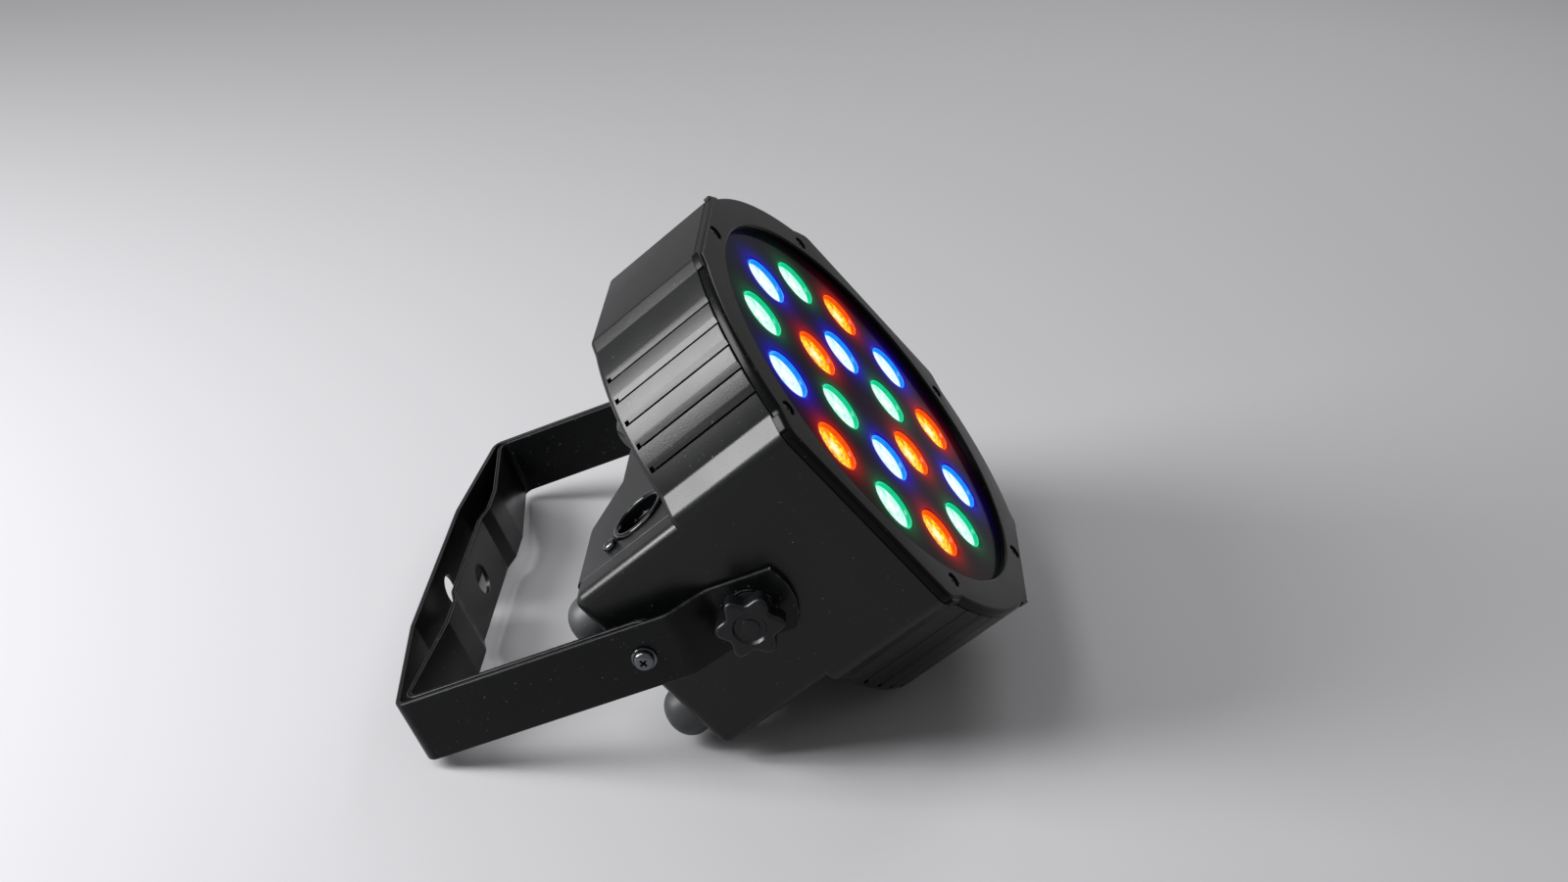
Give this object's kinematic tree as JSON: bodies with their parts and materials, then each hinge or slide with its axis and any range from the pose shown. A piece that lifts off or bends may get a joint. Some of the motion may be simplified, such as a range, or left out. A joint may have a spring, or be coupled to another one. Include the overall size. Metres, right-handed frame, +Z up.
{
  "type": "led par can",
  "caption": "Flat black stage wash light: a shallow eight-sided drum full of round coloured lenses, in a double steel bracket with tilt knobs, lying face up.",
  "frame": {"origin": "middle of the underside of the resting lamp, on the surface it lies on", "axes": "+Z up, +X the way the light looks, seen from above, Y along the tilt axis"},
  "size_m": [0.2364, 0.2134, 0.1743],
  "materials": {
    "housing_plastic": "satin, finely textured black moulding",
    "panel_gloss": "polished black",
    "black_steel": "black powder coat",
    "knob_plastic": "smooth black moulding",
    "zinc": "zinc plated",
    "foot_rubber": "light grey rubber",
    "board_green": "solder resist",
    "board_white": "white solder resist",
    "sink_aluminium": "extruded, plain",
    "smoked_window": "smoked red",
    "button_grey": "dark grey",
    "lens_red": "clear moulding lit orange-red",
    "lens_green": "clear moulding lit green",
    "lens_blue": "clear moulding lit blue"
  },
  "bodies": {
    "bracket": {"mounting_bracket": "black_steel", "bracket_screw_left": "zinc", "bracket_screw_right": "zinc", "bracket_nut_left": "zinc", "bracket_nut_right": "zinc", "knob_washer_left": "zinc", "knob_washer_right": "zinc"},
    "head": {"main_housing": "housing_plastic", "front_bezel": "housing_plastic", "bezel_screw_1": "black_steel", "bezel_screw_2": "black_steel", "bezel_screw_3": "black_steel", "bezel_screw_4": "black_steel", "bezel_screw_5": "black_steel", "bezel_screw_6": "black_steel", "lens_plate": "panel_gloss", "lens_outer_01": "lens_blue", "lens_outer_02": "lens_green", "lens_outer_03": "lens_red", "lens_outer_04": "lens_blue", "lens_outer_05": "lens_red", "lens_outer_06": "lens_blue", "lens_outer_07": "lens_green", "lens_outer_08": "lens_red", "lens_outer_09": "lens_green", "lens_outer_10": "lens_red", "lens_outer_11": "lens_blue", "lens_outer_12": "lens_green", "lens_inner_01": "lens_red", "lens_inner_02": "lens_blue", "lens_inner_03": "lens_green", "lens_inner_04": "lens_red", "lens_inner_05": "lens_blue", "lens_inner_06": "lens_green", "led_board": "board_white", "heat_sink": "sink_aluminium", "rear_cover": "housing_plastic", "data_out_socket": "black_steel", "power_outlet": "housing_plastic", "data_in_socket": "black_steel", "socket_screw_1": "black_steel", "socket_screw_2": "black_steel", "power_inlet": "housing_plastic", "rubber_foot_1": "foot_rubber", "rubber_foot_2": "foot_rubber", "rubber_foot_3": "foot_rubber", "rubber_foot_4": "foot_rubber", "control_panel": "panel_gloss", "display_window": "smoked_window", "control_board": "board_green", "power_board": "board_green"},
    "stand": {"stand_bracket": "black_steel"},
    "knob_left": {"tilt_knob_left": "knob_plastic"},
    "knob_right": {"tilt_knob_right": "knob_plastic"},
    "data_out_tab": {"data_out_latch": "button_grey"},
    "button_1": {"menu_button_1": "button_grey"},
    "button_2": {"menu_button_2": "button_grey"},
    "button_3": {"menu_button_3": "button_grey"},
    "button_4": {"menu_button_4": "button_grey"}
  },
  "joints": [
    {"name": "head_tilt", "type": "hinge", "parent": "bracket", "child": "head", "pos_m": [0.01453, 0, 0.06801], "axis": [0, 1, 0], "range_deg": [-71, 108]},
    {"name": "stand_swing", "type": "hinge", "parent": "bracket", "child": "stand", "pos_m": [-0.02208, 0, 0.0519], "axis": [0, 1, 0], "range_deg": [-80, 80]},
    {"name": "knob_turn_left", "type": "hinge", "parent": "head", "child": "knob_left", "pos_m": [0.01453, 0, 0.06801], "axis": [0, 1, 0], "range_deg": [-180, 180]},
    {"name": "knob_turn_right", "type": "hinge", "parent": "head", "child": "knob_right", "pos_m": [0.01453, 0, 0.06801], "axis": [0, 1, 0], "range_deg": [-180, 180]},
    {"name": "button_press_1", "type": "slide", "parent": "head", "child": "button_1", "axis": [0.7384, 0, 0.6744], "range_m": [0, 0.0008], "stiffness_N_per_m": 900, "springref_m": -0.0004},
    {"name": "button_press_2", "type": "slide", "parent": "head", "child": "button_2", "axis": [0.7384, 0, 0.6744], "range_m": [0, 0.0008], "stiffness_N_per_m": 900, "springref_m": -0.0004},
    {"name": "button_press_3", "type": "slide", "parent": "head", "child": "button_3", "axis": [0.7384, 0, 0.6744], "range_m": [0, 0.0008], "stiffness_N_per_m": 900, "springref_m": -0.0004},
    {"name": "button_press_4", "type": "slide", "parent": "head", "child": "button_4", "axis": [0.7384, 0, 0.6744], "range_m": [0, 0.0008], "stiffness_N_per_m": 900, "springref_m": -0.0004},
    {"name": "data_out_tab_press", "type": "slide", "parent": "head", "child": "data_out_tab", "axis": [-0.6744, 0, 0.7384], "range_m": [0, 0.0016], "stiffness_N_per_m": 1200, "springref_m": -0.0004}
  ]
}
